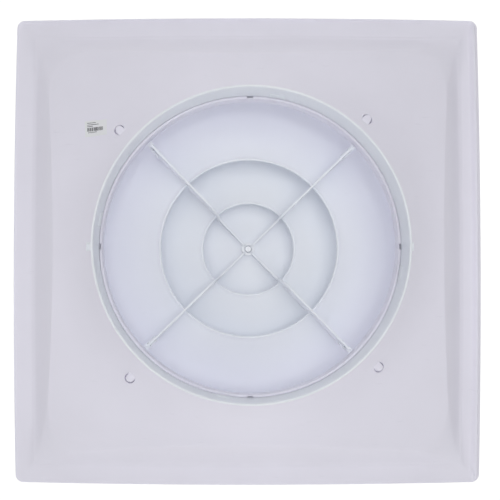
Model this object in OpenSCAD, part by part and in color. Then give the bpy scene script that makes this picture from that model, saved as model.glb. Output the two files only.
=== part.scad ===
// Square lay-in ceiling air diffuser with a round duct collar and a drop-out core of three cones.
// It lies as it hangs: the room side is at Z = 0 and the duct collar points up (+Z).
// The origin is the centre of the room-side face. Every size is in millimetres and every angle in degrees.

/* [Panel] */
// Outer width of the square panel
panel_w = 603; // [596:1:606]
// Thickness of the moulded plastic
panel_t = 2.5; // [2:0.1:3]
// Radius of the panel's outer corners
panel_corner_r = 10; // [6:1:14]
// Width of the flat flange that lies on the ceiling grid
flange_w = 25.5; // [22:0.5:28]
// Height of the stiffening lip round the flange
lip_h = 6.5; // [5:0.5:9]
// Thickness of the stiffening lip
lip_t = 2.6; // [2:0.1:4]

/* [Bell] */
// How far the sloping wall runs inward for each millimetre it rises
wall_run = 1.07; // [1:0.01:1.15]
// How fast the wall's corner radius grows with height
wall_corner_growth = 2.7; // [2.4:0.1:3]
// Radius of the flare that joins the throat to the bell
flare_r = 100; // [95:1:105]
// Slope of the flare where it meets the throat
flare_steep = 55; // [50:1:60]
// Slope of the outer part of the bell
bell_slope = 9.65; // [8:0.05:11]
// Height of the shoulder that carries the collar
shoulder_z = 76; // [74:1:78]
// Radius of the shoulder's outer edge
shoulder_r = 180; // [180:1:182]

/* [Collar] */
// Outside diameter of the duct collar
collar_d = 350; // [349:0.5:351]
// Wall thickness of the duct collar
collar_t = 2.7; // [2.4:0.1:3]
// Height of the collar's top edge
collar_top = 112; // [105:1:120]
// Angle that the collar turns between locked and free
collar_turn = 10; // [9:1:12]

/* [Core] */
// Radius of the outer cone's upper rim
outer_rim_r = 107.6; // [105:0.1:110]
// Height of the outer cone's upper rim
outer_rim_z = 50; // [46:1:54]
// Radius of the middle cone's upper rim
middle_rim_r = 57.4; // [55:0.1:60]
// Height of the middle cone's upper rim
middle_rim_z = 33; // [30:1:36]
// Wall thickness of the cones
cone_t = 2; // [1.6:0.1:2.4]
// Thickness of the vanes that carry the cones
vane_t = 2.2; // [1.8:0.1:2.6]
// Height of the vanes' top edge at the throat
vane_top = 79; // [78:1:80]
// Turn of the core's cross from the panel's diagonals
core_turn = -0.9; // [-3:0.1:3]

/* [Small parts] */
// Distance of the wire anchors from the axis
anchor_r = 212.5; // [208:0.5:216]
// Turn of the wire anchors from the panel's diagonals
anchor_turn = 2.5; // [-3:0.5:3]
// Length of the blank label
label_w = 28; // [20:1:32]
// Height of the blank label
label_h = 20; // [14:1:22]

/* [Hidden] */

gap = 0.3;
sliver = 0.02;
quarter = 90;
white_plastic = [0.86, 0.86, 0.88];
cone_plastic = [0.88, 0.90, 0.91];
$fn = 180;

// Bell: a circular flare, then a straight slope out to the corners
flare_cr = shoulder_r + flare_r * sin(flare_steep);
flare_cz = shoulder_z + flare_r * cos(flare_steep);
bell_end_r = 400;
flare_steps = 14;
wall_foot = panel_w / 2 - flange_w;
wall_foot_corner = 8;
wall_z_high = 46;
wall_inset = panel_t / sin(atan(1 / wall_run));

// Wire anchors: a blind round pocket in the flare with a tongue standing in it
anchor_hole_r = 6.3;
pocket_depth = 9;
pocket_t = 1.6;
tongue_r = 4.7;
tongue_set_in = 1.2;
tongue_root = 9;

// Throat spigot that the collar turns on
spigot_ri = 169.1;
spigot_ro = collar_d / 2 - collar_t - gap;
spigot_top = 83;
spigot_bottom = 70;

// Bayonet: lugs inside the collar run in grooves in the spigot's outer face
lug_in = 1.7;
lug_deep = 1.9;
lug_len = 5.6;
lug_h = 2.4;
lug_z = shoulder_z + 2.2;
lug_angle = quarter - collar_turn;

// Collar foot
foot_r = 179;
foot_z = shoulder_z + 1.1;
foot_t = 2.4;
grip_r = 188;
grip_w = 10;

// Cones: [rim radius, rim height, edge radius, edge height, half the bend of the profile]
outer_cone_spec = [outer_rim_r, outer_rim_z, 204, 5, 6];
middle_cone_spec = [middle_rim_r, middle_rim_z, 140, 4.5, 6];
inner_cone_spec = [13, 18, 80, 4, 5];
rim_bead = 1.4;
edge_bead = 1.9;
cone_steps = 12;
crown_z = 18;

// Hub and its screw
hub_r = 8;
hub_top = 31;
hub_slot_r = 5.8;
screw_bore = 2.3;
screw_r = 1.9;
screw_seat_z = 27.6;
screw_head_r = 4.1;
counterbore_r = 4.8;
washer_t = 0.8;
boss_r = 5.5;
boss_z = 6;

// Vanes and their tenons
vane_tip = spigot_ri - 0.5;
vane_gap = 0.15;
vane_crest_r = 72;
crest_drop = 22;
crest_stretch = 1.8;
tenon_len = 8;
tenon_at = [40, 84, 134];
tenon_end = 1.4;
cutout_z0 = 49;
cutout_z1 = 75.8;

// Latches at the vane tips
latch_pivot_r = 156.5;
latch_pivot_z = 56;
latch_pin_r = 1.5;
latch_bore_r = 1.55;
latch_cheek = 1.4;
latch_nose_r = 1.7;
latch_nose_z = 72.4;
latch_reach = spigot_ri - gap;
vane_angles = [45, 135, 225, 315];

// ---- Helpers ----

// A point on the bell's flare where the slope is a, set in by d from its outer face
function flare_point(a, d) = [flare_cr - (flare_r + d) * sin(a), flare_cz - (flare_r + d) * cos(a)];

// The bell's surface from the throat out, set in by d and cut off above z_max
function bell_line(d, z_max) =
    let (a_top = acos((flare_cz - z_max) / (flare_r + d)), last = flare_point(bell_slope, d))
    concat([for (i = [0:flare_steps]) flare_point(a_top + (bell_slope - a_top) * i / flare_steps, d)],
           [[bell_end_r, last[1] - (bell_end_r - last[0]) * tan(bell_slope)]]);

// Height of the bell's outer face on the flare, at radius r
function flare_z(r) = flare_cz - sqrt(flare_r * flare_r - pow(flare_cr - r, 2));

// Cone profile as an arc: its radius, and the centre's radius and height
function cone_chord(c) = norm([c[2] - c[0], c[1] - c[3]]);
function cone_bend_r(c) = cone_chord(c) / (2 * sin(c[4]));
function cone_tilt(c) = atan((c[1] - c[3]) / (c[2] - c[0]));
function cone_cr(c) = c[0] + cone_bend_r(c) * sin(cone_tilt(c) + c[4]);
function cone_cz(c) = c[1] + cone_bend_r(c) * cos(cone_tilt(c) + c[4]);
function cone_point(c, a, d) = [cone_cr(c) - (cone_bend_r(c) + d) * sin(a),
                                cone_cz(c) - (cone_bend_r(c) + d) * cos(a)];
function cone_line(c, d) =
    [for (i = [0:cone_steps]) cone_point(c, cone_tilt(c) + c[4] * (1 - 2 * i / cone_steps), d)];

// Height of a cone's upper face at radius r
function cone_z(c, r) = cone_cz(c) - sqrt(pow(cone_bend_r(c), 2) - pow(cone_cr(c) - r, 2));

// The upper face of a cone between two radii, as the line a vane's lower edge follows
function vane_foot(c, r0, r1, n) =
    [for (i = [0:n]) let (r = r0 + (r1 - r0) * i / n) [r, cone_z(c, r) + vane_gap]];

function reversed(list) = [for (i = [len(list) - 1:-1:0]) list[i]];

// Square block with round corners, centred on Z
module round_square(half, r, h) {
    translate([-half, -half + r, 0])
        cube([2 * half, 2 * (half - r), h]);
    translate([-half + r, -half, 0])
        cube([2 * (half - r), 2 * half, h]);
    for (x = [-1, 1], y = [-1, 1])
        translate([x * (half - r), y * (half - r), 0])
            cylinder(r = r, h = h, $fn = 48);
}

// Round tube standing on z0
module tube(ro, ri, z0, z1) {
    translate([0, 0, z0])
        difference() {
            cylinder(r = ro, h = z1 - z0);
            translate([0, 0, -1])
                cylinder(r = ri, h = z1 - z0 + 2);
        }
}

// Piece of a ring between two radii and two heights, centred on the angle a and len long
module ring_piece(ri, ro, z0, z1, a, len) {
    half = len / (ri + ro) * 180 / PI;
    rotate([0, 0, a - half])
        rotate_extrude(angle = 2 * half)
            translate([ri, z0])
                square([ro - ri, z1 - z0]);
}

// ---- Panel ----

function wall_half(z) = wall_foot - wall_run * (z - panel_t);
function wall_corner(z) = max(2, wall_foot_corner + wall_corner_growth * (z - panel_t));

// Block inside the sloping wall: nearly square at its foot and well rounded higher up
module wall_block(z0, inset) {
    hull()
        for (z = [z0, wall_z_high])
            for (x = [-1, 1], y = [-1, 1]) {
                r = wall_corner(z);
                c = wall_half(z) - inset - r;
                translate([x * c, y * c, z])
                    cylinder(r = r, h = sliver, $fn = 64);
            }
    translate([0, 0, wall_z_high - 4])
        cylinder(r = wall_half(wall_z_high) - inset - 1, h = shoulder_z);
}

// Everything under the bell's surface
module bell_block(d, z_max, z0) {
    rotate_extrude()
        polygon(concat([[0, z0], [0, z_max]], bell_line(d, z_max), [[bell_end_r, z0]]));
}

// Tongue left standing level in each anchor pocket, with a crescent gap for the wire
module anchor_tongue() {
    tongue_top = flare_z(anchor_r - anchor_hole_r);
    tongue_at = anchor_r - tongue_set_in;
    intersection() {
        union() {
            translate([tongue_at, 0, tongue_top - panel_t])
                cylinder(r = tongue_r, h = panel_t, $fn = 48);
            translate([tongue_at - tongue_root, -tongue_r, tongue_top - panel_t])
                cube([tongue_root, 2 * tongue_r, panel_t]);
        }
        translate([anchor_r - tongue_root, 0, 0])
            cylinder(r = tongue_root + tongue_r, h = 2 * shoulder_z, $fn = 48);
    }
}

// Cup under the flare that closes each anchor pocket, so that no air leaks through it
module anchor_cup() {
    floor_z = flare_z(anchor_r) - pocket_depth;
    translate([anchor_r, 0, floor_z - pocket_t])
        cylinder(r = anchor_hole_r + pocket_t, h = pocket_depth, $fn = 64);
}

// L-shaped groove: open at the spigot's top, then round to the locked place
module bayonet_groove(a) {
    ri = spigot_ro - lug_deep;
    ro = spigot_ro + 1;
    wide = lug_len + 1;
    ring_piece(ri, ro, lug_z - gap, spigot_top + 1, a, wide);
    run_len = collar_turn * PI / 180 * spigot_ro + wide;
    ring_piece(ri, ro, lug_z - gap, lug_z + lug_h + gap, a - collar_turn / 2, run_len);
}

module face_panel() {
    stop_w = 2.5;
    stop_r = foot_r + 4.5;
    stop_angle = 180 - (grip_w / 2 + gap + stop_w / 2) / shoulder_r * 180 / PI;
    color(white_plastic)
        difference() {
            union() {
                round_square(panel_w / 2, panel_corner_r, lip_h);
                intersection() {
                    bell_block(0, shoulder_z, 0);
                    wall_block(panel_t - 1, 0);
                }
                tube(spigot_ro, spigot_ri, spigot_bottom, spigot_top);
                for (side = [0, 180])
                    ring_piece(foot_r + gap, stop_r, flare_z(stop_r) - 1,
                               foot_z + foot_t, stop_angle + side, stop_w);
                for (i = [0:3])
                    rotate([0, 0, 45 + anchor_turn + i * quarter])
                        anchor_tongue();
            }
            difference() {
                translate([0, 0, panel_t])
                    round_square(panel_w / 2 - lip_t, panel_corner_r - lip_t, lip_h);
                wall_block(panel_t - 1, 0);
            }
            difference() {
                intersection() {
                    bell_block(panel_t, shoulder_z - panel_t, -1);
                    wall_block(-1, wall_inset);
                }
                tube(spigot_ro, spigot_ri, spigot_bottom, spigot_top);
                for (i = [0:3])
                    rotate([0, 0, 45 + anchor_turn + i * quarter]) {
                        anchor_tongue();
                        anchor_cup();
                    }
            }
            translate([0, 0, -1])
                cylinder(r = spigot_ri, h = 2 * shoulder_z);
            for (i = [0:3]) {
                bayonet_groove(i * quarter);
                rotate([0, 0, 45 + anchor_turn + i * quarter])
                    difference() {
                        translate([anchor_r, 0, flare_z(anchor_r) - pocket_depth])
                            cylinder(r = anchor_hole_r, h = shoulder_z, $fn = 48);
                        anchor_tongue();
                    }
            }
        }
}

// ---- Collar ----

module duct_collar() {
    wall_ri = collar_d / 2 - collar_t;
    rib_h = 0.8;
    rib_in = 0.7;
    rib_first_z = spigot_top + 2;
    rib_step = 3.5;
    edge_r = collar_t / 2;
    slot_deep = 0.8;
    slot_w = 1.2;
    color(white_plastic) {
        tube(collar_d / 2, wall_ri, foot_z, collar_top - edge_r);
        rotate_extrude()
            translate([collar_d / 2 - edge_r, collar_top - edge_r])
                circle(r = edge_r, $fn = 32);
        tube(foot_r, wall_ri, foot_z, foot_z + foot_t);
        for (side = [0, 180])
            rotate([0, 0, side])
                difference() {
                    translate([wall_ri + 1, -grip_w / 2, foot_z])
                        cube([grip_r - wall_ri - 1, grip_w, foot_t]);
                    translate([grip_r - 3, -grip_w / 2 + 2, foot_z + foot_t - slot_deep])
                        cube([slot_w, grip_w - 4, 2 * slot_deep]);
                }
        for (i = [0:3]) {
            a = lug_angle + i * quarter;
            ring_piece(wall_ri - lug_in, wall_ri + 1, lug_z, lug_z + lug_h, a, lug_len);
            for (k = [0:2]) {
                z = rib_first_z + k * rib_step;
                ring_piece(wall_ri - rib_in, wall_ri + 1, z, z + rib_h, a, 3 * lug_len);
            }
        }
    }
}

module collar_seal() {
    seal_ri = spigot_ro + gap + 0.7;
    color([0.25, 0.25, 0.27])
        tube(foot_r - 0.4, seal_ri, shoulder_z + gap, foot_z);
}

// ---- Core ----

// Slots that the vanes' tenons pass through
module tenon_slots(c, r) {
    for (a = vane_angles)
        rotate([0, 0, a + core_turn])
            translate([r - tenon_len / 2 - 0.2, -vane_t / 2 - vane_gap, cone_z(c, r) - 8])
                cube([tenon_len + 0.4, vane_t + 2 * vane_gap, 16]);
}

// Flared ring with a bead round its upper rim and its lower edge
module cone_ring(c) {
    rim = cone_point(c, cone_tilt(c) + c[4], cone_t / 2);
    edge = cone_point(c, cone_tilt(c) - c[4], cone_t / 2);
    rotate_extrude()
        polygon(concat(cone_line(c, 0), reversed(cone_line(c, cone_t))));
    rotate_extrude()
        translate(rim)
            circle(r = rim_bead, $fn = 32);
    rotate_extrude()
        translate(edge)
            circle(r = edge_bead, $fn = 32);
}

module outer_cone() {
    color(cone_plastic)
        difference() {
            cone_ring(outer_cone_spec);
            tenon_slots(outer_cone_spec, tenon_at[2]);
        }
}

module middle_cone() {
    color(cone_plastic)
        difference() {
            cone_ring(middle_cone_spec);
            tenon_slots(middle_cone_spec, tenon_at[1]);
        }
}

module inner_cone() {
    c = inner_cone_spec;
    edge = cone_point(c, cone_tilt(c) - c[4], cone_t / 2);
    color(cone_plastic)
        difference() {
            union() {
                rotate_extrude()
                    polygon(concat([[0, crown_z - cone_t], [0, crown_z]], cone_line(c, 0),
                                   reversed(cone_line(c, cone_t))));
                rotate_extrude()
                    translate(edge)
                        circle(r = edge_bead, $fn = 32);
                translate([0, 0, boss_z])
                    cylinder(r = boss_r, h = crown_z - boss_z);
            }
            translate([0, 0, boss_z + cone_t])
                cylinder(r = screw_r, h = crown_z);
            tenon_slots(c, tenon_at[0]);
        }
}

module core_hub() {
    color(cone_plastic)
        difference() {
            translate([0, 0, crown_z])
                cylinder(r = hub_r, h = hub_top - crown_z);
            translate([0, 0, crown_z - 1])
                cylinder(r = screw_bore, h = hub_top);
            translate([0, 0, screw_seat_z])
                cylinder(r = counterbore_r, h = hub_top);
            for (a = vane_angles)
                rotate([0, 0, a + core_turn])
                    translate([hub_slot_r, -vane_t / 2 - vane_gap, crown_z - 1])
                        cube([hub_r, vane_t + 2 * vane_gap, hub_top]);
        }
}

// Side view of a vane: its lower edge steps over the cones' rims and its tip is cut out for the latch
module vane_outline() {
    clear = rim_bead + 0.9;
    low_r = vane_crest_r - crest_drop;
    low_z = vane_top - crest_stretch * crest_drop;
    inner_r = hub_slot_r + vane_gap;
    inner_top = hub_top - 1.5;
    tip_chamfer = 5; // lead-in that guides the core back up into the spigot
    difference() {
        union() {
            polygon(concat(
                [[inner_r, crown_z + vane_gap]],
                vane_foot(inner_cone_spec, 14, middle_rim_r - clear, 6),
                [[middle_rim_r - clear, middle_rim_z + clear], [middle_rim_r + clear, middle_rim_z + clear]],
                vane_foot(middle_cone_spec, middle_rim_r + clear, outer_rim_r - clear, 6),
                [[outer_rim_r - clear, outer_rim_z + clear], [outer_rim_r + clear, outer_rim_z + clear]],
                vane_foot(outer_cone_spec, outer_rim_r + clear, latch_pivot_r + 4, 6),
                [[vane_tip, cutout_z0 - 6], [vane_tip, vane_top - tip_chamfer],
                 [vane_tip - tip_chamfer, vane_top], [vane_crest_r, vane_top]],
                [for (a = [10:10:80]) [vane_crest_r - crest_drop * sin(a),
                                       vane_top - crest_stretch * crest_drop * (1 - cos(a))]],
                [[low_r, low_z], [hub_r, inner_top], [inner_r, inner_top]]));
            for (t = [[inner_cone_spec, tenon_at[0]], [middle_cone_spec, tenon_at[1]],
                      [outer_cone_spec, tenon_at[2]]])
                translate([t[1] - tenon_len / 2, cone_z(t[0], t[1]) - cone_t - tenon_end])
                    square([tenon_len, cone_t + tenon_end + 4]);
        }
        polygon([[latch_pivot_r + 4.5, cutout_z0], [vane_tip + 1, cutout_z0], [vane_tip + 1, cutout_z1],
                 [latch_pivot_r + 1, cutout_z1]]);
        translate([latch_pivot_r, latch_pivot_z])
            circle(r = latch_pin_r, $fn = 48);
    }
}

module vane(a) {
    color(cone_plastic)
        rotate([0, 0, a + core_turn])
            rotate([90, 0, 0])
                translate([0, 0, -vane_t / 2])
                    linear_extrude(vane_t)
                        vane_outline();
}

module vane_ne() { vane(vane_angles[0]); }
module vane_nw() { vane(vane_angles[1]); }
module vane_sw() { vane(vane_angles[2]); }
module vane_se() { vane(vane_angles[3]); }

// Pivoting latch: two cheeks on a pin, a finger and a round nose against the throat
module latch(a) {
    inner = vane_t / 2 + gap;
    outer = inner + latch_cheek;
    cheek_len = 6.4;
    finger_r = latch_pivot_r + cheek_len;
    finger_t = 1.8;
    cheek_r = 4;
    nose_r = latch_reach - latch_nose_r;
    color([0.80, 0.81, 0.83])
        rotate([0, 0, a + core_turn])
            rotate([90, 0, 0])
                union() {
                    for (z = [-outer, inner])
                        translate([0, 0, z])
                            linear_extrude(latch_cheek)
                                difference() {
                                    union() {
                                        translate([latch_pivot_r, latch_pivot_z])
                                            circle(r = cheek_r, $fn = 48);
                                        translate([latch_pivot_r, latch_pivot_z - cheek_r])
                                            square([cheek_len + finger_t, 2 * cheek_r]);
                                    }
                                    translate([latch_pivot_r, latch_pivot_z])
                                        circle(r = latch_bore_r, $fn = 48);
                                }
                    translate([0, 0, -outer])
                        linear_extrude(2 * outer)
                            union() {
                                translate([finger_r, latch_pivot_z - cheek_r])
                                    square([finger_t, latch_nose_z - latch_pivot_z + cheek_r + 1]);
                                translate([finger_r, latch_nose_z - latch_nose_r])
                                    square([nose_r - finger_r, 2 * latch_nose_r]);
                                translate([nose_r, latch_nose_z])
                                    circle(r = latch_nose_r, $fn = 48);
                            }
                }
}

module latch_ne() { latch(vane_angles[0]); }
module latch_nw() { latch(vane_angles[1]); }
module latch_sw() { latch(vane_angles[2]); }
module latch_se() { latch(vane_angles[3]); }

module latch_pins() {
    pin_half = vane_t / 2 + gap + latch_cheek + 0.6;
    color([0.62, 0.63, 0.65])
        for (a = vane_angles)
            rotate([0, 0, a + core_turn])
                translate([latch_pivot_r, pin_half, latch_pivot_z])
                    rotate([90, 0, 0])
                        cylinder(r = latch_pin_r, h = 2 * pin_half, $fn = 48);
}

module hub_screw() {
    head_z = screw_seat_z + washer_t;
    head_h = 2.2;
    head_taper = 0.8;
    cross_w = 1;
    cross_len = 4.4;
    color([0.70, 0.71, 0.73])
        difference() {
            union() {
                translate([0, 0, boss_z + cone_t + 1])
                    cylinder(r = screw_r, h = head_z - boss_z - cone_t);
                translate([0, 0, head_z])
                    cylinder(r1 = screw_head_r, r2 = screw_head_r - head_taper, h = head_h, $fn = 64);
            }
            for (a = [0, 90])
                rotate([0, 0, a])
                    translate([-cross_len / 2, -cross_w / 2, head_z + 0.8])
                        cube([cross_len, cross_w, head_h]);
        }
}

module hub_washer() {
    color([0.74, 0.75, 0.77])
        tube(4.5, 2.15, screw_seat_z, screw_seat_z + washer_t);
}

// ---- Label ----

// Blank sticker, bent to the bell's flare
module label() {
    label_r = 239;
    label_angle = 141.6;
    label_tilt = 4;
    label_reach = 40;
    thick = 0.3;
    color([0.95, 0.95, 0.95])
        intersection() {
            difference() {
                bell_block(-thick, shoulder_z, 0);
                bell_block(0, shoulder_z, -1);
            }
            rotate([0, 0, label_angle])
                translate([label_r, 0, 0])
                    rotate([0, 0, label_tilt - label_angle])
                        translate([-label_w / 2, -label_h / 2, label_reach / 2])
                            cube([label_w, label_h, label_reach]);
        }
}

face_panel();
duct_collar();
collar_seal();
outer_cone();
middle_cone();
inner_cone();
core_hub();
vane_ne();
vane_nw();
vane_sw();
vane_se();
latch_ne();
latch_nw();
latch_sw();
latch_se();
latch_pins();
hub_screw();
hub_washer();
label();
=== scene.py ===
"""Square ceiling air diffuser lying room side down, with its duct collar towards the camera."""

import math

import bpy
import numpy as np
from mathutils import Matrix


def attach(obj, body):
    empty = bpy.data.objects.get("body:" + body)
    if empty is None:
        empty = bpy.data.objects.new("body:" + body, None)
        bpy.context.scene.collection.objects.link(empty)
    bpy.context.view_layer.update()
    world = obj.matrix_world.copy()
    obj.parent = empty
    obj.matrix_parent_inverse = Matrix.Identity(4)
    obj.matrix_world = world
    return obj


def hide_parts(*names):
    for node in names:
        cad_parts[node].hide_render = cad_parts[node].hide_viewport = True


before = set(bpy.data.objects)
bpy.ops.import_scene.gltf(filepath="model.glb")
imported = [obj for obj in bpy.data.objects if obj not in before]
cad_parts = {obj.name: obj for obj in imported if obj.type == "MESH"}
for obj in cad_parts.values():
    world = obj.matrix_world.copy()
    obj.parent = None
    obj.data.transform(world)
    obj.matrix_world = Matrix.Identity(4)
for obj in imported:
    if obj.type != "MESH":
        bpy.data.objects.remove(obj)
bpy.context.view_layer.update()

# Every size below is in millimetres unless it says otherwise, and every angle is in degrees.
MM = 0.001
QUARTER = 90

# Panel, as in the CAD part
PANEL_HALF = 301.5
PANEL_T = 2.5
PANEL_CORNER = 10
WALL_FOOT = 276
WALL_RUN = 1.07
WALL_RISE = 33
WALL_BEND = 0.74
WALL_FOOT_CORNER = 8
WALL_CORNER_GROWTH = 2.7
FLARE_R = 100
FLARE_STEEP = 55
BELL_SLOPE = 9.65
SHOULDER_R = 180
SHOULDER_Z = 76
FLARE_CR = SHOULDER_R + FLARE_R * math.sin(math.radians(FLARE_STEEP))
FLARE_CZ = SHOULDER_Z + FLARE_R * math.cos(math.radians(FLARE_STEEP))
FLARE_END = FLARE_CR - FLARE_R * math.sin(math.radians(BELL_SLOPE))
SPIGOT_RI = 169.1
SPIGOT_RO = 172.0
SPIGOT_TOP = 83
SPIGOT_BOTTOM = 70
# How far the bends between faces are softened, as the height over which two faces blend
SOFT_CREST = 1.2
SOFT_FOOT = 2.2
SOFT_FOOT_CORNER = 12
SOFT_FROM, SOFT_TO = 215, 275
SOFT_SHOULDER = 2.0
# The moulded edges bow out by this share of the half width between the corners
EDGE_BOW = 0.0125
BOW_FROM, BOW_TO = 205, 295
# Edge lip towards +x, +y, -x and -y: height, width of the inner rise, width of the outer draft
LIP_SIDES = [(6.3, 6.5, 6.6), (4.6, 3.0, 2.4), (3.2, 4.0, 1.0), (3.2, 4.0, 1.2)]

# Rows of the panel's mesh: those round the anchor windows, the last on the bell, and the bands of fine rows
WINDOW_FROM, WINDOW_TO = 202, 224
BELL_LAST = 236
CREST_BAND = 4.5
FOOT_BAND = 4

# Bayonet, anchors and grips
NOTCH_HALF = 1.1
NOTCH_R = 170.1
LUG_Z = 78.2
COLLAR_TURN = 10
ANCHOR_R = 212.5
ANCHOR_TURN = 2.5
ANCHOR_HOLE = 6.3
POCKET_DEPTH = 9.0
POCKET_T = 1.6
TONGUE_R = 4.7

# Collar
COLLAR_RO = 175
COLLAR_RI = 172.3
COLLAR_TOP = 112
FOOT_R = 179
FOOT_Z = 77.1
FOOT_T = 2.4
TAB_R = 188
TAB_HALF = 5
LUG_H = 2.4
LUG_LEN = 5.6
LUG_IN = 1.7
RIB_LEVELS = (85, 88.5, 92)
RIB_H = 0.8
RIB_IN = 0.7

# Sticker: its size, where it lies on the bell, and its print in columns and rows of its grid
LABEL_WIDE, LABEL_HIGH, LABEL_T = 28.0, 20.0, 0.28
LABEL_R, LABEL_ANGLE, LABEL_TURN = 239, 141.6, 4
LABEL_COLUMNS, LABEL_ROWS = 112, 60
PRINT_LEFT = 12
BARS_END = 92
BAR_ROWS = slice(20, 34)
LINES = [(51, 53, 56), (44, 46, 70), (38, 40, 40)]  # first row, row past the last, column past the last

# Core
CORE_TURN = -0.9
CONE_T = 2.0
RIM_BEAD = 1.4
EDGE_BEAD = 1.9
CONES = {  # rim radius, rim height, edge radius, edge height, half the bend of the profile
    "outer_cone": (107.6, 50, 204, 5, 6),
    "middle_cone": (57.4, 33, 140, 4.5, 6),
    "inner_cone": (13, 18, 80, 4, 5),
}
CROWN_Z = 18
HUB_R, HUB_TOP, HUB_SLOT_R = 8, 31, 5.8
VANE_T = 2.2
VANE_TOP = 79
VANE_TIP = 168.6
TIP_CHAMFER = 5
TIP_FOOT = 43
CUT_LOW, CUT_TOP = 49, 75.8
VANE_CREST_R = 72
CREST_RUN, CREST_FALL = 22, 39.6
VANE_GAP = 0.15
VANE_ANGLES = {"vane_ne": 45, "vane_nw": 135, "vane_sw": 225, "vane_se": 315}


# ---- Meshes ----

class Mesh:
    """Vertices in millimetres and faces, gathered piece by piece."""

    def __init__(self):
        self.verts = []
        self.faces = []
        self.marks = []

    def add(self, points):
        """Adds points and returns the array of their indices, in the points' own grid shape."""
        points = np.asarray(points, float)
        first = len(self.verts)
        self.verts.extend(points.reshape(-1, 3).tolist())
        return np.arange(first, len(self.verts)).reshape(points.shape[:-1])

    def face(self, *corners, mark=0):
        self.faces.append([int(c) for c in corners])
        self.marks.append(mark)

    def strip(self, a, b, closed=True):
        """Quads between two rows of indices of the same length."""
        n = len(a)
        for i in range(n if closed else n - 1):
            j = (i + 1) % n
            self.face(a[i], a[j], b[j], b[i])

    def build(self, name, body, slot, materials, sharp=32, nodes=()):
        data = bpy.data.meshes.new(name)
        co = np.array(self.verts) * MM
        data.from_pydata(co.tolist(), [], self.faces)
        data.update()
        for m in materials:
            data.materials.append(m)
        data.polygons.foreach_set("material_index", self.marks)
        data.polygons.foreach_set("use_smooth", [True] * len(data.polygons))
        data.validate()
        data.set_sharp_from_angle(angle=math.radians(sharp))
        made = bpy.data.objects.new(name, data)
        bpy.context.scene.collection.objects.link(made)
        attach(made, body)
        if nodes:
            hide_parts(*nodes)
        return made


def polar(angle, radius, z):
    """Points at angles in degrees."""
    a = np.radians(angle)
    return np.stack(np.broadcast_arrays(np.cos(a) * radius, np.sin(a) * radius, z), -1)


def corner_round(points, radius, steps=4):
    """Closed 2-D outline with every corner rounded; radius is one number or one for each corner."""
    n = len(points)
    radii = radius if hasattr(radius, "__len__") else [radius] * n
    out = []
    for i, p in enumerate(points):
        p = np.array(p, float)
        a = np.array(points[i - 1], float) - p
        b = np.array(points[(i + 1) % n], float) - p
        la, lb = np.linalg.norm(a), np.linalg.norm(b)
        a, b = a / la, b / lb
        half = math.acos(max(-1, min(1, float(a @ b)))) / 2
        bend = math.pi - 2 * half
        if radii[i] <= 0 or bend < 0.02:
            out.append(p)
            continue
        cut = min(radii[i] / math.tan(half), 0.45 * la, 0.45 * lb)
        r = cut * math.tan(half)
        middle = (a + b) / np.linalg.norm(a + b)
        centre = p + middle * r / math.sin(half)
        start = p + a * cut - centre
        end = p + b * cut - centre
        for k in range(steps + 1):
            t = k / steps
            v = start * (1 - t) + end * t
            out.append(centre + v / np.linalg.norm(v) * r)
    return np.array(out)


def lathe(mesh, profile, angles):
    """Ring swept from a closed (r, z) outline that runs anticlockwise in the (r, z) plane."""
    profile = np.asarray(profile)
    grid = mesh.add(polar(angles[:, None], profile[None, :, 0], profile[None, :, 1]))
    for i in range(len(angles)):
        a, b = grid[i], grid[(i + 1) % len(angles)]
        mesh.strip(b, a)


def disc_lathe(mesh, profile, angles):
    """Solid of revolution whose (r, z) outline starts and ends on the axis, from the bottom out and up."""
    profile = np.asarray(profile)
    poles = mesh.add([(0, 0, profile[0][1]), (0, 0, profile[-1][1])])
    rows = profile[1:-1]
    grid = mesh.add(polar(angles[:, None], rows[None, :, 0], rows[None, :, 1]))
    n = len(angles)
    for i in range(n):
        a, b = grid[i], grid[(i + 1) % n]
        mesh.strip(b, a, closed=False)
        mesh.face(poles[0], b[0], a[0])
        mesh.face(poles[1], a[-1], b[-1])


def arc_bar(mesh, ri, ro, z0, z1, middle, width, soft=0.3, steps=10):
    """Curved bar between two radii, centred on an angle and width long, with softened edges."""
    half = math.degrees(width / (ri + ro))
    section = corner_round([(ri, z0), (ro, z0), (ro, z1), (ri, z1)], soft, 3)
    centre = section.mean(0)
    ends = math.degrees(2 * soft / (ri + ro))
    angles = np.concatenate([[middle - half], np.linspace(middle - half + ends, middle + half - ends, steps),
                             [middle + half]])
    rows = []
    for i, a in enumerate(angles):
        shrink = soft if i in (0, len(angles) - 1) else 0
        s = centre + (section - centre) * (1 - shrink / np.maximum(np.abs(section - centre), 0.6).max(0))
        rows.append(mesh.add(polar(a, s[:, 0], s[:, 1])))
    for a, b in zip(rows, rows[1:]):
        mesh.strip(b, a)
    mesh.face(*rows[0])
    mesh.face(*rows[-1][::-1])


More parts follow.
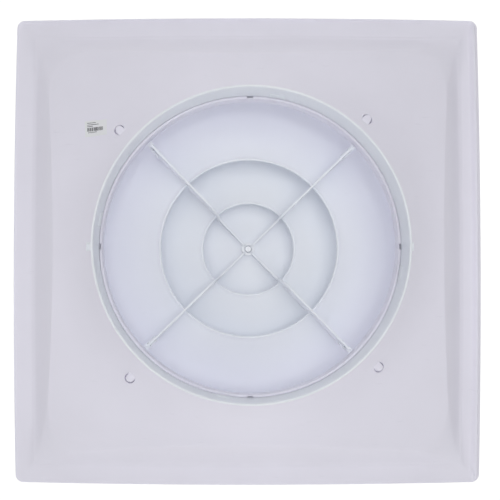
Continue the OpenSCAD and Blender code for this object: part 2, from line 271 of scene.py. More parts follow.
def plate(mesh, outline, low, high, place, soft=0.35, steps=2):
    """Flat plate from a 2-D outline that runs anticlockwise, between two heights, with softened edges.
    place turns an (n, 3) array of outline x, outline y and height into points."""
    outline = np.asarray(outline)
    n = len(outline)
    before, after = np.roll(outline, 1, 0), np.roll(outline, -1, 0)
    a = outline - before
    b = after - outline
    a /= np.linalg.norm(a, axis=1)[:, None]
    b /= np.linalg.norm(b, axis=1)[:, None]
    normal_a = np.stack([-a[:, 1], a[:, 0]], 1)
    normal_b = np.stack([-b[:, 1], b[:, 0]], 1)
    inward = normal_a + normal_b
    inward /= np.maximum(np.linalg.norm(inward, axis=1) ** 2, 0.8)[:, None] / 2
    rows = []
    for k in range(steps + 1):
        t = math.pi / 2 * k / steps
        rows.append((soft * (1 - math.sin(t)), low + soft * (1 - math.cos(t))))
    rows += [(inset, high + low - z) for inset, z in rows[::-1]]
    made = []
    for inset, z in rows:
        p = outline + inward * inset
        made.append(mesh.add(place(np.column_stack([p, np.full(n, z)]))))
    for lower, upper in zip(made, made[1:]):
        mesh.strip(lower, upper)
    mesh.face(*made[0][::-1])
    mesh.face(*made[-1])


def smooth_min(a, b, k):
    h = np.maximum(k - np.abs(a - b), 0) / k
    return np.minimum(a, b) - h * h * k / 4


def smooth_max(a, b, k):
    return -smooth_min(-a, -b, k)


def ramp(x, low, high):
    t = np.clip((x - low) / (high - low), 0, 1)
    return t * t * (3 - 2 * t)


# ---- Panel surface ----

def square_reach(angle, half, corner):
    """Distance from the centre, along an angle, to a square with rounded corners."""
    t = np.radians((np.asarray(angle) + 45) % QUARTER - 45)
    c, s = np.cos(t), np.abs(np.sin(t))
    k = half - corner
    b = k * (c + s)
    arc = b + np.sqrt(np.maximum(b * b - 2 * k * k + corner * corner, 0))
    return np.where(half / c * s <= k, half / c, arc)


def wall_height(x, y):
    """Height of the sloping wall over a point. The wall is a little hollow, and steepest at its crest."""
    angle = np.degrees(np.arctan2(y, x))
    radius = np.hypot(x, y)
    low, high = np.full(np.shape(radius), -12.0), np.full(np.shape(radius), 150.0)
    for _ in range(30):
        z = (low + high) / 2
        up = np.maximum(z - PANEL_T, 0) / WALL_RISE
        drop = np.minimum(z - PANEL_T, 0)
        half = WALL_FOOT - WALL_RUN * (WALL_RISE * up**WALL_BEND + drop)
        corner = np.clip(WALL_FOOT_CORNER + WALL_CORNER_GROWTH * (z - PANEL_T), 2, np.maximum(half, 2))
        inside = radius < square_reach(angle, half, corner)
        low, high = np.where(inside, z, low), np.where(inside, high, z)
    return (low + high) / 2


def bell_height(radius):
    """Height of the bell's surface: a circular flare and then a straight slope."""
    r = np.minimum(radius, FLARE_END)
    flare = FLARE_CZ - np.sqrt(np.maximum(FLARE_R**2 - (FLARE_CR - r) ** 2, 1))
    return flare - np.maximum(radius - FLARE_END, 0) * math.tan(math.radians(BELL_SLOPE))


def panel_height(x, y):
    crest = smooth_min(bell_height(np.hypot(x, y)), wall_height(x, y), SOFT_CREST)
    near_corner = ramp(np.minimum(np.abs(x), np.abs(y)), SOFT_FROM, SOFT_TO)
    soft = SOFT_FOOT + (SOFT_FOOT_CORNER - SOFT_FOOT) * near_corner
    return smooth_max(smooth_min(crest, SHOULDER_Z, SOFT_SHOULDER), PANEL_T, soft)


def panel_under(x, y):
    """Height of the underside, so that the wall keeps its thickness across the slope."""
    e = 0.25
    dx = (panel_height(x + e, y) - panel_height(x - e, y)) / (2 * e)
    dy = (panel_height(x, y + e) - panel_height(x, y - e)) / (2 * e)
    return panel_height(x, y) - PANEL_T * np.sqrt(1 + dx * dx + dy * dy)


def bow(points):
    """Draws the corners in, so that the panel's edges bow out between them."""
    x, y = points[..., 0], points[..., 1]
    share = ramp(np.hypot(x, y), BOW_FROM, BOW_TO) * EDGE_BOW
    out = points.copy()
    out[..., 0] = x * (1 - share * (y / PANEL_HALF) ** 2)
    out[..., 1] = y * (1 - share * (x / PANEL_HALF) ** 2)
    return out


def panel_angles():
    """Angles of the panel's columns, closer together at the corners, the anchors and the notches."""
    quarter = []
    a = -45.0
    while a < 45 - 1e-6:
        quarter.append(a)
        from_corner = min(abs(a + 45), abs(45 - a))
        if from_corner < 1.15:
            step = 0.1
        elif from_corner < 3:
            step = 0.22
        elif from_corner < 6:
            step = 0.45
        else:
            step = 1.0
        a = round(a + step, 4)
    quarter = [q for q in quarter if abs(q) > 1.6]
    quarter += [-1.5, -NOTCH_HALF - 0.03, -NOTCH_HALF, -0.55, 0, 0.55, NOTCH_HALF, NOTCH_HALF + 0.03, 1.5]
    quarter = np.array(sorted(quarter))
    return np.concatenate([quarter + QUARTER * k for k in range(4)])


def crest_reach(angles):
    """Distance to the line where the bell meets the wall, along each angle."""
    low = np.full(len(angles), 228.0)
    high = square_reach(angles, WALL_FOOT, WALL_FOOT_CORNER)
    for _ in range(30):
        r = (low + high) / 2
        p = polar(angles, r, 0)
        on_bell = bell_height(r) < wall_height(p[..., 0], p[..., 1])
        low, high = np.where(on_bell, r, low), np.where(on_bell, high, r)
    return (low + high) / 2


def panel_mesh():
    mesh = Mesh()
    angles = panel_angles()
    n = len(angles)
    crest = crest_reach(angles)
    foot = square_reach(angles, WALL_FOOT, WALL_FOOT_CORNER)

    # Edge lip: which side each column belongs to
    outline = polar(angles, square_reach(angles, PANEL_HALF, PANEL_CORNER), 0)
    ring = np.roll(outline, -1, 0) - np.roll(outline, 1, 0)
    outward = np.stack([ring[:, 1], -ring[:, 0]], 1)
    outward /= np.linalg.norm(outward, axis=1)[:, None]
    share = np.stack([np.maximum(outward[:, 0], 0), np.maximum(outward[:, 1], 0),
                      np.maximum(-outward[:, 0], 0), np.maximum(-outward[:, 1], 0)], 1) ** 2
    lip_h, rise, draft = (share @ np.array(LIP_SIDES, float)).T

    def edge(inset):
        return square_reach(angles, PANEL_HALF - inset, np.maximum(PANEL_CORNER - inset, 1.5))

    # Rows of radii over the panel's upper face, from the throat out, closer together at the crest and foot
    fixed = [172.6, 174.5, 176.5, 178, 179, 179.7, 180.3, 181, 182, 183.4, 185.3, 188, 191, 194, 197, 200]
    fixed += [WINDOW_FROM] + list(np.arange(204, WINDOW_TO + 0.1, 2)) + [227, 230, 233, BELL_LAST]
    rows = [np.full(n, r) for r in fixed]
    near = np.minimum(CREST_BAND, (crest - BELL_LAST) * 0.6)
    between = np.linspace(0, 1, 8)[1:-1]
    for t in between:
        rows.append(BELL_LAST + (crest - near - BELL_LAST) * t)
    for t in np.linspace(-1, 1, 11):
        rows.append(crest + (near if t < 0 else CREST_BAND) * t)
    for t in between:
        rows.append(crest + CREST_BAND + (foot - FOOT_BAND - crest - CREST_BAND) * t)
    for t in np.linspace(-1, 1, 9):
        rows.append(foot + FOOT_BAND * t)
    flange_end = edge(rise + draft)
    for t in (0.35, 0.7):
        rows.append(foot + FOOT_BAND + (flange_end - foot - FOOT_BAND) * t)

    top, under = [], []
    for r in rows:
        p = polar(angles, r, 0)
        x, y = p[..., 0], p[..., 1]
        over = p.copy()
        over[..., 2] = panel_height(x, y)
        top.append(mesh.add(bow(over)))
        below = p.copy()
        below[..., 2] = panel_under(x, y)
        under.append(mesh.add(bow(below)))

    # Lip: a soft inner rise, a rounded crest and a drafted outer face
    lip = []
    for t in np.linspace(0, 1, 9):
        lip.append((rise * (1 - t) + draft, PANEL_T + (lip_h - PANEL_T) * ramp(t, 0, 1)))
    lip += [(draft * 0.93, lip_h - 0.03), (draft * 0.85, lip_h - 0.16)]
    for t in (0.35, 0.7):
        lip.append((draft * 0.85 * (1 - t), lip_h - 0.16 + (1.3 - lip_h + 0.16) * t))
    flat = np.zeros(n)
    lip += [(flat, flat + 1.0), (flat, flat + 0.45), (flat + 0.2, flat + 0.1), (flat + 0.6, flat),
            (rise + draft, flat)]
    edge_rows = [mesh.add(bow(polar(angles, edge(inset), z))) for inset, z in lip]

    # Throat: the spigot's outer face, top, inner face and foot
    soft = 0.45
    throat = [(SPIGOT_RO, 76.5, 0), (SPIGOT_RO, 77.8, 0), (SPIGOT_RO, 77.9, 1),
              (SPIGOT_RO, SPIGOT_TOP - soft, 1),
              (SPIGOT_RO - 0.14, SPIGOT_TOP - 0.14, 1), (SPIGOT_RO - soft, SPIGOT_TOP, 1),
              (SPIGOT_RI + soft, SPIGOT_TOP, 0), (SPIGOT_RI + 0.14, SPIGOT_TOP - 0.14, 0),
              (SPIGOT_RI, SPIGOT_TOP - soft, 0), (SPIGOT_RI, 78, 0), (SPIGOT_RI, 74, 0),
              (SPIGOT_RI, SPIGOT_BOTTOM + soft, 0), (SPIGOT_RI + 0.14, SPIGOT_BOTTOM + 0.14, 0),
              (SPIGOT_RI + soft, SPIGOT_BOTTOM, 0), (SPIGOT_RO - soft, SPIGOT_BOTTOM, 0),
              (SPIGOT_RO, SPIGOT_BOTTOM + soft, 0), (SPIGOT_RO, 73, 0)]
    off_quarter = np.abs((angles + 45) % QUARTER - 45)
    in_notch = off_quarter <= NOTCH_HALF + 0.01
    throat_rows = []
    for r, z, notched in throat:
        cut = SPIGOT_RO - NOTCH_R if notched else 0
        throat_rows.append(mesh.add(polar(angles, np.where(in_notch, r - cut, r), z)))

    # Anchor windows: the grid is left out there and filled round the hole
    first, last = fixed.index(WINDOW_FROM), fixed.index(WINDOW_TO)
    windows = []
    for k in range(4):
        middle = 45 + ANCHOR_TURN + QUARTER * k
        off = (angles - middle + 180) % 360 - 180
        columns = np.where(np.abs(off) <= 3.1)[0]
        columns = columns[np.argsort(off[columns])]
        windows.append((middle, columns))
    open_quads = {(r, int(c)) for _, cols in windows for c in cols[:-1] for r in range(first, last)}

    def surface(grid, upward):
        for r, (a, b) in enumerate(zip(grid, grid[1:])):
            for i in range(n):
                if (r, i) in open_quads:
                    continue
                j = (i + 1) % n
                q = (a[i], b[i], b[j], a[j])
                mesh.face(*(q if upward else q[::-1]))

    surface(top, True)
    surface(under, False)
    for a, b in zip([top[-1]] + edge_rows, edge_rows + [under[-1]]):
        mesh.strip(b, a)
    for a, b in zip([top[0]] + throat_rows, throat_rows + [under[0]]):
        mesh.strip(a, b)

    for middle, cols in windows:
        centre = polar(middle, ANCHOR_R, 0)
        for grid, height, upward in ((top, panel_height, True), (under, panel_under, False)):
            loop = [grid[first][c] for c in cols] + [grid[r][cols[-1]] for r in range(first + 1, last + 1)]
            loop += [grid[last][c] for c in cols[-2::-1]]
            loop += [grid[r][cols[0]] for r in range(last - 1, first, -1)]
            start = np.array([mesh.verts[i] for i in loop])
            ray = start[:, :2] - centre[:2]
            reach = np.linalg.norm(ray, axis=1)[:, None]
            ray = ray / reach
            before = loop
            mouth = ANCHOR_HOLE + (0.5 if upward else 0.5 + POCKET_T)
            for s in (0.3, 0.6, 0.82, 1.0):
                at = reach + (mouth - reach) * s
                p = centre[:2] + ray * at
                z = height(p[:, 0], p[:, 1])
                now = mesh.add(np.column_stack([p, z]))
                mesh.strip(*((now, before) if upward else (before, now)))
                before = now
            # Then down the pocket's side and across its floor
            mid_z = float(bell_height(np.array(ANCHOR_R)))
            floor_z = mid_z - POCKET_DEPTH if upward else mid_z - POCKET_DEPTH - POCKET_T
            for r, z in ((mouth - 0.35, None), (mouth - 0.5, floor_z + 0.6), (mouth - 0.68, floor_z + 0.18),
                         (mouth - 1.1, floor_z), (mouth / 2, floor_z)):
                p = centre[:2] + ray * r
                if z is None:
                    level = height(p[:, 0], p[:, 1]) - (0.13 if upward else 0.3)
                else:
                    level = np.full(len(p), z)
                now = mesh.add(np.column_stack([p, level]))
                mesh.strip(*((now, before) if upward else (before, now)))
                before = now
            tip = mesh.add([(centre[0], centre[1], floor_z)])[0]
            for i in range(len(before)):
                pair = (before[i], before[(i + 1) % len(before)])
                mesh.face(tip, *(pair if upward else pair[::-1]))

        # Tongue that stands level in the hole
        top_z = float(bell_height(np.array(ANCHOR_R - ANCHOR_HOLE)))
        at = ANCHOR_R - 1.2
        turn = np.radians(np.linspace(-90, 90, 25))
        nose = np.column_stack([at + TONGUE_R * np.cos(turn), TONGUE_R * np.sin(turn)])
        shape = np.concatenate([[(at - 8, -TONGUE_R)], nose, [(at - 8, TONGUE_R)]])

        def place(p, angle=math.radians(middle)):
            c, s = math.cos(angle), math.sin(angle)
            return np.column_stack([p[:, 0] * c - p[:, 1] * s, p[:, 0] * s + p[:, 1] * c, p[:, 2]])

        plate(mesh, shape, top_z - PANEL_T, top_z, place, 0.45, 3)

    # Stops beside the collar's grips
    stop_mid = 180 - math.degrees((5 + 0.3 + 1.25) / SHOULDER_R)
    for side in (0, 180):
        arc_bar(mesh, 179.3, 183.5, 70, 79.5, stop_mid + side, 2.5, 0.4, 4)
    return mesh


# ---- Collar ----

def collar_mesh():
    mesh = Mesh()
    outer, inner, foot_top = COLLAR_RO, COLLAR_RI, FOOT_Z + FOOT_T
    bead = (outer - inner) / 2
    rim = [(inner + bead + bead * math.cos(a), COLLAR_TOP - bead + bead * math.sin(a))
           for a in np.radians(np.linspace(0, 180, 13))]
    # Foot with its rounded edges, the outer wall with a small fillet, the rim and the inner wall
    profile = [(inner + 0.3, FOOT_Z), (FOOT_R - 0.5, FOOT_Z), (FOOT_R - 0.15, FOOT_Z + 0.15),
               (FOOT_R, FOOT_Z + 0.5), (FOOT_R, foot_top - 0.6), (FOOT_R - 0.18, foot_top - 0.18),
               (FOOT_R - 0.6, foot_top), (outer + 1.2, foot_top), (outer + 0.35, foot_top + 0.35),
               (outer, foot_top + 1.2), (outer, 90), (outer, 100)] + rim
    profile += [(inner, 104), (inner, 97), (inner, 90), (inner, 84), (inner, FOOT_Z + 0.3)]
    lathe(mesh, profile, np.arange(0, 360, 1.25))
    for side in (0, 180):
        c, s = math.cos(math.radians(side)), math.sin(math.radians(side))

        def place(p, c=c, s=s):
            return np.column_stack([p[:, 0] * c - p[:, 1] * s, p[:, 0] * s + p[:, 1] * c, p[:, 2]])

        # Tab: a thin base, its top in two parts either side of the slot, and a web at each end of the slot
        root = outer - 1
        base = [(root, -TAB_HALF), (TAB_R, -TAB_HALF), (TAB_R, TAB_HALF), (root, TAB_HALF)]
        tab = corner_round(base, [0, 1.8, 1.8, 0], 5)
        plate(mesh, tab, FOOT_Z, foot_top - 0.8, place, 0.4, 2)
        for low, wide, rounding in ((root, 11, 0.3), (186.2, 1.8, [0.3, 1.2, 1.2, 0.3])):
            top = corner_round([(low, -TAB_HALF), (low + wide, -TAB_HALF), (low + wide, TAB_HALF),
                                (low, TAB_HALF)], rounding, 3)
            plate(mesh, top, foot_top - 1.3, foot_top, place, 0.3, 2)
        for y0 in (-TAB_HALF, TAB_HALF - 2):
            web = corner_round([(184, y0), (187, y0), (187, y0 + 2), (184, y0 + 2)], 0.1, 1)
            plate(mesh, web, foot_top - 1.3, foot_top, place, 0.25, 2)
    for k in range(4):
        a = QUARTER - COLLAR_TURN + QUARTER * k
        arc_bar(mesh, inner - LUG_IN, inner + 1, LUG_Z, LUG_Z + LUG_H, a, LUG_LEN, 0.3, 5)
        for z in RIB_LEVELS:
            arc_bar(mesh, inner - RIB_IN, inner + 1, z, z + RIB_H, a, 3 * LUG_LEN, 0.25, 9)
    return mesh


# ---- Core ----

def cone_arc(spec):
    rim_r, rim_z, edge_r, edge_z, half = spec
    chord = math.hypot(edge_r - rim_r, rim_z - edge_z)
    bend = chord / (2 * math.sin(math.radians(half)))
    tilt = math.degrees(math.atan((rim_z - edge_z) / (edge_r - rim_r)))
    steep = math.radians(tilt + half)
    return bend, rim_r + bend * math.sin(steep), rim_z + bend * math.cos(steep), tilt


def cone_point(spec, angle, depth):
    bend, cr, cz, _ = cone_arc(spec)
    a = math.radians(angle)
    return np.array([cr - (bend + depth) * math.sin(a), cz - (bend + depth) * math.cos(a)])


def cone_height(spec, radius):
    bend, cr, cz, _ = cone_arc(spec)
    return cz - math.sqrt(bend**2 - (cr - radius) ** 2)


def bead_arc(spec, at_rim, radius, steps=14):
    """Bead round the end of a cone's profile, from its upper face round to its lower face."""
    tilt, half = cone_arc(spec)[3], spec[4]
    angle = tilt + half if at_rim else tilt - half
    middle = cone_point(spec, angle, CONE_T / 2)
    a = math.radians(angle)
    along = np.array([math.cos(a), -math.sin(a)]) * (-1 if at_rim else 1)
    up = np.array([math.sin(a), math.cos(a)])
    span = math.pi - math.asin(CONE_T / 2 / radius)
    return [middle + radius * (math.cos(t) * along + math.sin(t) * up)
            for t in np.linspace(span, -span, steps)]


def cone_profile(spec, closed):
    """Anticlockwise outline of a cone: lower face out, edge bead, upper face in and rim bead."""
    tilt, half = cone_arc(spec)[3], spec[4]
    steps = 22
    lower = [cone_point(spec, tilt + half * (1 - 2 * t), CONE_T) for t in np.linspace(0, 1, steps)]
    upper = [cone_point(spec, tilt + half * (1 - 2 * t), 0) for t in np.linspace(0, 1, steps)]
    edge = bead_arc(spec, False, EDGE_BEAD)[::-1]
    if closed:
        return lower[1:-1] + edge + upper[-2:0:-1] + bead_arc(spec, True, RIM_BEAD)
    crown = CROWN_Z - CONE_T
    boss = [(0, 6), (4.7, 6), (5.3, 6.2), (5.5, 6.8), (5.5, crown - 1), (6.5, crown)]
    return boss + lower[:-1] + edge + upper[-2::-1] + [(5.0, CROWN_Z), (0, CROWN_Z)]


def cone_mesh(name):
    mesh = Mesh()
    angles = np.arange(0, 360, 1.25)
    if name == "inner_cone":
        disc_lathe(mesh, cone_profile(CONES[name], False), angles)
    else:
        lathe(mesh, cone_profile(CONES[name], True), angles)
    return mesh


def vane_outline():
    """Side view of a vane, anticlockwise, with a cut at its tip, open outwards, for the latch."""
    clear = RIM_BEAD + 0.9
    middle, outer, inner = CONES["middle_cone"], CONES["outer_cone"], CONES["inner_cone"]
    tenon_half, tenon_end = 4, 1.4

    def foot(spec, r0, r1, tenon):
        points = []
        for r in np.linspace(r0, r1, 13):
            if abs(r - tenon) > tenon_half + 0.8:
                points.append((r, cone_height(spec, r) + VANE_GAP))
        low = cone_height(spec, tenon) - CONE_T - tenon_end
        for r in (tenon - tenon_half, tenon + tenon_half):
            at = (r, cone_height(spec, r) + VANE_GAP)
            points += [at, (r, low)] if r < tenon else [(r, low), at]
        return sorted(points, key=lambda p: (p[0], -p[1] if p[0] < tenon else p[1]))

    line = [(HUB_SLOT_R + VANE_GAP, CROWN_Z + VANE_GAP)]
    line += foot(inner, 14, middle[0] - clear, 40)
    line += [(middle[0] - clear, middle[1] + clear), (middle[0] + clear, middle[1] + clear)]
    line += foot(middle, middle[0] + clear, outer[0] - clear, 84)
    line += [(outer[0] - clear, outer[1] + clear), (outer[0] + clear, outer[1] + clear)]
    line += foot(outer, outer[0] + clear, 160.5, 134)
    chamfer_r = VANE_TIP - TIP_CHAMFER
    line += [(VANE_TIP, TIP_FOOT), (VANE_TIP, CUT_LOW), (161, CUT_LOW), (157.5, CUT_TOP),
             (chamfer_r + VANE_TOP - CUT_TOP, CUT_TOP), (chamfer_r, VANE_TOP), (VANE_CREST_R, VANE_TOP)]
    line += [(VANE_CREST_R - CREST_RUN * math.sin(a), VANE_TOP - CREST_FALL * (1 - math.cos(a)))
             for a in np.radians(np.arange(6, 85, 6))]
    line += [(VANE_CREST_R - CREST_RUN, VANE_TOP - CREST_FALL), (HUB_R, HUB_TOP - 1.5),
             (HUB_SLOT_R + VANE_GAP, HUB_TOP - 1.5)]
    return corner_round(line, 0.5, 2)


def vane_mesh(angle):
    mesh = Mesh()
    turn = math.radians(angle + CORE_TURN)
    c, s = math.cos(turn), math.sin(turn)

    def place(p):
        # The outline's x runs out from the axis, its y is height, and the plate's height is across the vane
        return np.column_stack([p[:, 0] * c + p[:, 2] * s, p[:, 0] * s - p[:, 2] * c, p[:, 1]])

    plate(mesh, vane_outline(), -VANE_T / 2, VANE_T / 2, place, 0.22, 2)
    return mesh


# ---- Label ----

def label_mesh(rng):
    """Sticker bent to the flare, with plain printed bars and no lettering."""
    mesh = Mesh()
    columns, rows = LABEL_COLUMNS, LABEL_ROWS
    middle = polar(LABEL_ANGLE, LABEL_R, 0)[:2]
    turn = math.radians(LABEL_TURN)
    c, s = math.cos(turn), math.sin(turn)
    u = np.linspace(-LABEL_WIDE / 2, LABEL_WIDE / 2, columns + 1)
    v = np.linspace(-LABEL_HIGH / 2, LABEL_HIGH / 2, rows + 1)
    uu, vv = np.meshgrid(u, v)
    x = middle[0] + uu * c - vv * s
    y = middle[1] + uu * s + vv * c
    z = bell_height(np.hypot(x, y))
    over = mesh.add(np.stack([x, y, z + LABEL_T], -1))
    below = mesh.add(np.stack([x, y, z - 0.1], -1))

    bars = np.zeros(columns, bool)
    at = PRINT_LEFT
    while at < BARS_END:
        w = int(rng.integers(1, 4))
        bars[at:at + w] = True
        at += w + int(rng.integers(1, 3))
    ink = np.zeros((rows, columns), bool)
    ink[BAR_ROWS, :] = bars
    for first, past, end in LINES:
        ink[first:past, PRINT_LEFT:end] = True
    # A row of small dashes under the bars
    ink[14:17, 16:60] = (np.arange(44) % 5) < 3
    for r in range(rows):
        for k in range(columns):
            mesh.face(over[r, k], over[r, k + 1], over[r + 1, k + 1], over[r + 1, k], mark=int(ink[r, k]))
            mesh.face(below[r, k], below[r + 1, k], below[r + 1, k + 1], below[r, k + 1])
    ring_over = np.concatenate([over[0, :], over[1:, -1], over[-1, -2::-1], over[-2:0:-1, 0]])
    ring_below = np.concatenate([below[0, :], below[1:, -1], below[-1, -2::-1], below[-2:0:-1, 0]])
    mesh.strip(ring_below, ring_over)
    return mesh


# ---- Materials ----

def linear(grey):
    """One sRGB channel, from 0 to 255, as scene-linear light."""
    c = grey / 255
    return c / 12.92 if c <= 0.04045 else ((c + 0.055) / 1.055) ** 2.4


def colour(r, g, b):
    return (linear(r), linear(g), linear(b), 1)


def finish_material(name, base, spread, roughness, rough_spread=0.05, patch=14, grain=900, grain_depth=0.02,
                    metallic=0.0, specular=0.4, scuffs=0.0):
    """Moulded or worn surface: its colour drifts in patches, and its gloss and grain vary."""
    mat = bpy.data.materials.new(name)
    mat.use_nodes = True
    nodes, links = mat.node_tree.nodes, mat.node_tree.links
    shader = nodes["Principled BSDF"]
    shader.inputs["Metallic"].default_value = metallic
    shader.inputs["Specular IOR Level"].default_value = specular
    place = nodes.new("ShaderNodeTexCoord")

    def noise(scale, detail=3.0):
        made = nodes.new("ShaderNodeTexNoise")
        made.inputs["Scale"].default_value = scale
        made.inputs["Detail"].default_value = detail
        links.new(place.outputs["Object"], made.inputs["Vector"])
        return made

    drift = noise(patch)
    span = nodes.new("ShaderNodeValToRGB")
    span.color_ramp.elements[0].position = 0.3
    span.color_ramp.elements[1].position = 0.7
    low = tuple(max(0, c * (1 - spread)) for c in base[:3]) + (1,)
    high = tuple(min(1, c * (1 + spread)) for c in base[:3]) + (1,)
    span.color_ramp.elements[0].color = low
    span.color_ramp.elements[1].color = high
    links.new(drift.outputs["Fac"], span.inputs["Fac"])
    tint = span.outputs["Color"]
    if scuffs:
        stretch = nodes.new("ShaderNodeMapping")
        stretch.inputs["Scale"].default_value = (1.0, 9.0, 4.0)
        stretch.inputs["Rotation"].default_value = (0.3, 0.2, 0.7)
        links.new(place.outputs["Object"], stretch.inputs["Vector"])
        streak = nodes.new("ShaderNodeTexNoise")
        streak.inputs["Scale"].default_value = 40
        streak.inputs["Detail"].default_value = 6
        links.new(stretch.outputs["Vector"], streak.inputs["Vector"])
        pick = nodes.new("ShaderNodeMapRange")
        pick.inputs["From Min"].default_value = 0.66
        pick.inputs["From Max"].default_value = 0.8
        pick.inputs["To Max"].default_value = scuffs
        links.new(streak.outputs["Fac"], pick.inputs["Value"])
        darker = nodes.new("ShaderNodeMixRGB")
        darker.blend_type = "MULTIPLY"
        darker.inputs["Color2"].default_value = (0.78, 0.78, 0.8, 1)
        links.new(pick.outputs["Result"], darker.inputs["Fac"])
        links.new(tint, darker.inputs["Color1"])
        tint = darker.outputs["Color"]
    links.new(tint, shader.inputs["Base Color"])

    gloss = noise(patch * 4)
    rough = nodes.new("ShaderNodeMapRange")
    rough.inputs["From Min"].default_value = 0.3
    rough.inputs["From Max"].default_value = 0.7
    rough.inputs["To Min"].default_value = roughness - rough_spread
    rough.inputs["To Max"].default_value = roughness + rough_spread
    links.new(gloss.outputs["Fac"], rough.inputs["Value"])
    links.new(rough.outputs["Result"], shader.inputs["Roughness"])

    fine = noise(grain, 2.0)
    bump = nodes.new("ShaderNodeBump")
    bump.inputs["Strength"].default_value = 0.35
    bump.inputs["Distance"].default_value = grain_depth * MM
    links.new(fine.outputs["Fac"], bump.inputs["Height"])
    links.new(bump.outputs["Normal"], shader.inputs["Normal"])
    return mat


PANEL_BASE = colour(240, 238, 249)
CORE_BASE = colour(245, 248, 255)
panel_plastic = finish_material("panel_plastic", PANEL_BASE, 0.012, 0.5, scuffs=0.25)
collar_plastic = finish_material("collar_plastic", colour(246, 249, 255), 0.012, 0.48, scuffs=0.2)
cone_plastic = finish_material("cone_plastic", CORE_BASE, 0.012, 0.46, scuffs=0.2)
latch_plastic = finish_material("latch_plastic", colour(244, 247, 253), 0.012, 0.5)
seal_foam = finish_material("seal_foam", colour(70, 70, 74), 0.15, 0.9, grain=1400, grain_depth=0.2,
                            specular=0.2)
pin_steel = finish_material("pin_steel", colour(222, 224, 229), 0.03, 0.55, metallic=1.0, grain_depth=0.01)
label_paper = finish_material("label_paper", colour(239, 240, 243), 0.01, 0.4, patch=60)
label_ink = finish_material("label_ink", colour(38, 38, 44), 0.2, 0.45, patch=120)

# Floor: the paper's own tone, and its glow, which is dim out to GLOW_REACH and full GLOW_FADE further out;
# the dim middle is a painted shadow standing for the object's shade on the floor
FLOOR_TONE = 0.3
GLOW_REACH = 0.08
GLOW_FADE = 0.25
SHADE_PATCH_GLOW = 0.15
OUTER_GLOW = 0.86


def studio_floor():
    """Softly glowing white paper, with a dimmer round patch under the object's middle, which is a painted
    shadow.
    """
    mat = bpy.data.materials.new("floor_paper")
    mat.use_nodes = True
    nodes, links = mat.node_tree.nodes, mat.node_tree.links
    nodes.clear()
    place = nodes.new("ShaderNodeTexCoord")
    fibre = nodes.new("ShaderNodeTexNoise")
    fibre.inputs["Scale"].default_value = 6
    links.new(place.outputs["Object"], fibre.inputs["Vector"])
    tone = nodes.new("ShaderNodeValToRGB")
    tone.color_ramp.elements[0].color = (FLOOR_TONE * 0.98,) * 3 + (1,)
    tone.color_ramp.elements[1].color = (FLOOR_TONE,) * 3 + (1,)
    links.new(fibre.outputs["Fac"], tone.inputs["Fac"])
    paper = nodes.new("ShaderNodeBsdfDiffuse")
    links.new(tone.outputs["Color"], paper.inputs["Color"])

    reach = nodes.new("ShaderNodeVectorMath")
    reach.operation = "LENGTH"
    links.new(place.outputs["Object"], reach.inputs[0])
    # Painted shadow: the glow is turned down in a soft round patch under the object, where its shade would
    # fall
    middle = nodes.new("ShaderNodeMapRange")
    middle.interpolation_type = "SMOOTHSTEP"
    middle.inputs["From Min"].default_value = GLOW_REACH
    middle.inputs["From Max"].default_value = GLOW_REACH + GLOW_FADE
    middle.inputs["To Min"].default_value = SHADE_PATCH_GLOW
    middle.inputs["To Max"].default_value = OUTER_GLOW
    links.new(reach.outputs["Value"], middle.inputs["Value"])
    glow = nodes.new("ShaderNodeEmission")
    links.new(middle.outputs["Result"], glow.inputs["Strength"])
    both = nodes.new("ShaderNodeAddShader")
    links.new(paper.outputs["BSDF"], both.inputs[0])
    links.new(glow.outputs["Emission"], both.inputs[1])
    out = nodes.new("ShaderNodeOutputMaterial")
    links.new(both.outputs["Shader"], out.inputs["Surface"])
    return mat


floor_paper = studio_floor()

# ---- The object ----

rng = np.random.default_rng(7)
panel_mesh().build("panel_shell", "panel", "panel_plastic", [panel_plastic], 38, ["face_panel"])
collar_mesh().build("collar_ring", "collar", "collar_plastic", [collar_plastic], 35, ["duct_collar"])
for cone in CONES:
    cone_mesh(cone).build(cone + "_moulding", "core", "cone_plastic", [cone_plastic], 40, [cone])
for vane, at in VANE_ANGLES.items():
    vane_mesh(at).build(vane + "_plate", "core", "cone_plastic", [cone_plastic], 40, [vane])
label_mesh(rng).build("label_sticker", "panel", "label_film", [label_paper, label_ink], 40, ["label"])

CARRIED = {
    "core_hub": (cone_plastic, 0.35), "hub_screw": (pin_steel, 0.15), "hub_washer": (pin_steel, 0.1),
    "latch_pins": (pin_steel, 0.15), "collar_seal": (seal_foam, 0.1),
    "latch_ne": (latch_plastic, 0.2), "latch_nw": (latch_plastic, 0.2),
    "latch_sw": (latch_plastic, 0.2), "latch_se": (latch_plastic, 0.2),
}
for name, (material, width) in CARRIED.items():
    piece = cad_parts[name]
    piece.data.materials.clear()
    piece.data.materials.append(material)
    weld = piece.modifiers.new("weld", "WELD")
    weld.merge_threshold = 1e-6
    soften = piece.modifiers.new("soften", "BEVEL")
    soften.width = width * MM
    soften.segments = 2
    soften.limit_method = "ANGLE"
    soften.angle_limit = math.radians(40)
    soften.harden_normals = False

# ---- Floor, light and camera ----

FLOOR_DROP = 0.125
FLOOR_SIZE = 14.0
floor_data = bpy.data.meshes.new("floor")
reach = FLOOR_SIZE / 2
floor_data.from_pydata([(-reach, -reach, 0), (reach, -reach, 0), (reach, reach, 0), (-reach, reach, 0)], [],
                       [(0, 1, 2, 3)])
floor = bpy.data.objects.new("floor", floor_data)
floor.location.z = -FLOOR_DROP
floor_data.materials.append(floor_paper)
bpy.context.scene.collection.objects.link(floor)

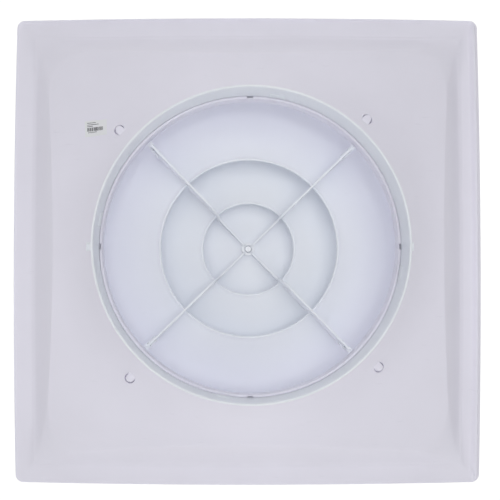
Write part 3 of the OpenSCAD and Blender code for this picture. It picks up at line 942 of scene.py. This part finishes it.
# Soft boxes: azimuth and elevation in degrees, distance and width in metres, power in watts
LIGHTS = {
    "top_small": (0, 90, 2.2, 0.6, 6.04),
    "east_steep": (0, 74, 2.2, 0.7, 2.86),
    "north_steep": (90, 74, 2.2, 0.7, 0.97),
    "west_steep": (180, 74, 2.2, 0.7, 0.46),
    "ne_high": (45, 62, 2.3, 1.1, 4.66),
    "nw_high": (135, 62, 2.3, 1.1, 4.14),
    "sw_high": (225, 62, 2.3, 1.1, 3.12),
    "se_high": (315, 62, 2.3, 1.1, 1.69),
    "north_low": (90, 32, 2.4, 1.3, 0.62),
    "west_low": (180, 32, 2.4, 1.3, 1.41),
    "sw_low": (225, 32, 2.4, 1.3, 3.65),
    "se_low": (315, 32, 2.4, 1.3, 4.93),
    "west_flat": (180, 14, 2.4, 1.0, 1.91),
    "north_flat": (90, 14, 2.4, 1.0, 6.97),
    "south_flat": (270, 14, 2.4, 1.0, 6.49),
}
WORLD_LIGHT = 0.185


def soft_box(name, azimuth, elevation, distance, width, power):
    data = bpy.data.lights.new(name, "AREA")
    data.shape = "SQUARE"
    data.size = width
    data.energy = power
    box = bpy.data.objects.new(name, data)
    a, e = math.radians(azimuth), math.radians(elevation)
    out = np.array([math.cos(a) * math.cos(e), math.sin(a) * math.cos(e), math.sin(e)])
    box.location = out * distance
    box.rotation_euler = (math.radians(90) - e, 0, a + math.radians(90))
    box.visible_camera = False
    bpy.context.scene.collection.objects.link(box)


for name, spec in LIGHTS.items():
    soft_box(name, *spec)

world = bpy.data.worlds.new("studio")
bpy.context.scene.world = world
world.use_nodes = True
sky = world.node_tree.nodes["Background"]
sky.inputs["Color"].default_value = (0.97, 0.98, 1.0, 1)
sky.inputs["Strength"].default_value = WORLD_LIGHT
# The backdrop is white where the camera sees it, and dimmer as a light
wall_seen = world.node_tree.nodes.new("ShaderNodeBackground")
wall_seen.inputs["Color"].default_value = (1, 1, 1, 1)
wall_seen.inputs["Strength"].default_value = 1.0
path = world.node_tree.nodes.new("ShaderNodeLightPath")
pick = world.node_tree.nodes.new("ShaderNodeMixShader")
world.node_tree.links.new(path.outputs["Is Camera Ray"], pick.inputs["Fac"])
world.node_tree.links.new(sky.outputs["Background"], pick.inputs[1])
world.node_tree.links.new(wall_seen.outputs["Background"], pick.inputs[2])
world.node_tree.links.new(pick.outputs["Shader"], world.node_tree.nodes["World Output"].inputs["Surface"])
bpy.context.scene.view_settings.view_transform = "Standard"

CAMERA_AT = (-0.029, -0.039, 0.700)
CAMERA_PITCH = 0.6
CAMERA_LENS = 38.99
camera_data = bpy.data.cameras.new("camera")
camera_data.lens = CAMERA_LENS
camera_data.sensor_width = 36
camera_data.shift_x = 0.0505
camera_data.shift_y = 0.050
camera_data.dof.use_dof = False
camera = bpy.data.objects.new("camera", camera_data)
camera.location = CAMERA_AT
camera.rotation_euler = (math.radians(CAMERA_PITCH), 0, 0)
bpy.context.scene.collection.objects.link(camera)
bpy.context.scene.camera = camera
